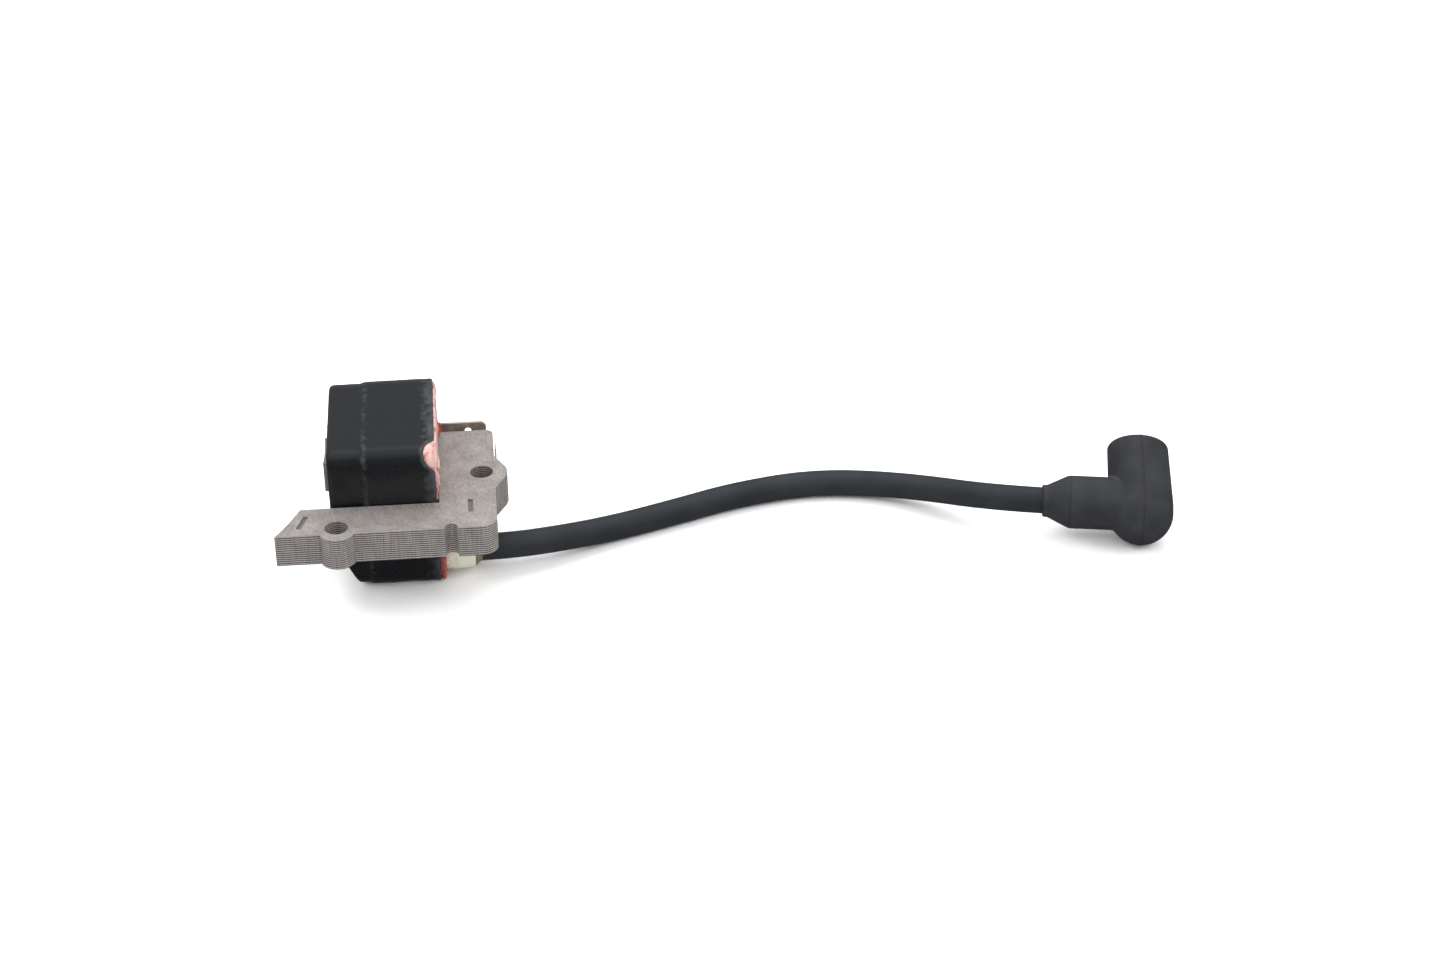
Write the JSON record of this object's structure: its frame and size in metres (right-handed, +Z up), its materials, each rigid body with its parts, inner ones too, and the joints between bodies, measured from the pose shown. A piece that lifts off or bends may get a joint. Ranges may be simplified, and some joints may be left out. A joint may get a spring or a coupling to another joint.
{
  "type": "ignition coil",
  "caption": "Magneto ignition coil of a small petrol engine: laminated U core with two bolt lugs, potted coil case, stop tab, and a high-tension lead with a right-angle plug boot.",
  "frame": {"origin": "middle of the bottom of the coil's own box, without the lead and its boot, where the case rests on the surface", "axes": "+Z up, square to the laminations; +X along the core's legs from the flywheel side to the yoke; +Y from the long leg to the case"},
  "size_m": [0.2358, 0.059, 0.0402],
  "materials": {
    "core_steel": "bare blanked electrical steel, dull",
    "case_plastic": "moulded, semi-gloss charcoal black",
    "potting_epoxy": "cast epoxy, pink to red-brown, glossy",
    "bobbin_nylon": "moulded, natural",
    "winding_copper": "enamelled copper",
    "board_laminate": "bare glass epoxy board",
    "capacitor_body": "dipped",
    "component_resin": "moulded resin",
    "tinned_steel": "tinned, dull and stained",
    "pin_brass": "turned",
    "collar_nylon": "moulded natural nylon, ivory",
    "sealant_rubber": "brown bead",
    "lead_jacket": "extruded, satin charcoal",
    "boot_rubber": "moulded, matte charcoal",
    "spring_steel": "drawn wire"
  },
  "bodies": {
    "coil": {"lamination_01": "core_steel", "lamination_02": "core_steel", "lamination_03": "core_steel", "lamination_04": "core_steel", "lamination_05": "core_steel", "lamination_06": "core_steel", "lamination_07": "core_steel", "lamination_08": "core_steel", "lamination_09": "core_steel", "lamination_10": "core_steel", "lamination_11": "core_steel", "lamination_12": "core_steel", "lamination_13": "core_steel", "lamination_14": "core_steel", "coil_case": "case_plastic", "potting_compound": "potting_epoxy", "primary_bobbin": "bobbin_nylon", "secondary_bobbin": "bobbin_nylon", "primary_winding": "winding_copper", "secondary_winding": "winding_copper", "circuit_board": "board_laminate", "storage_capacitor": "capacitor_body", "switching_thyristor": "component_resin", "charging_diode": "component_resin", "trigger_resistor": "component_resin", "kill_terminal": "tinned_steel", "ground_tag": "tinned_steel", "ht_output_pin": "pin_brass", "lead_collar": "collar_nylon", "lead_sealant": "sealant_rubber", "ht_lead": "lead_jacket", "ht_lead_conductor": "winding_copper"},
    "boot": {"plug_boot": "boot_rubber", "plug_spring": "spring_steel"}
  },
  "joints": [
    {"name": "boot_swivel", "type": "hinge", "parent": "coil", "child": "boot", "pos_m": [0.18124, -0.00689, 0.0097], "axis": [0.9833, -0.1821, 0], "range_deg": [-90, 90]}
  ]
}
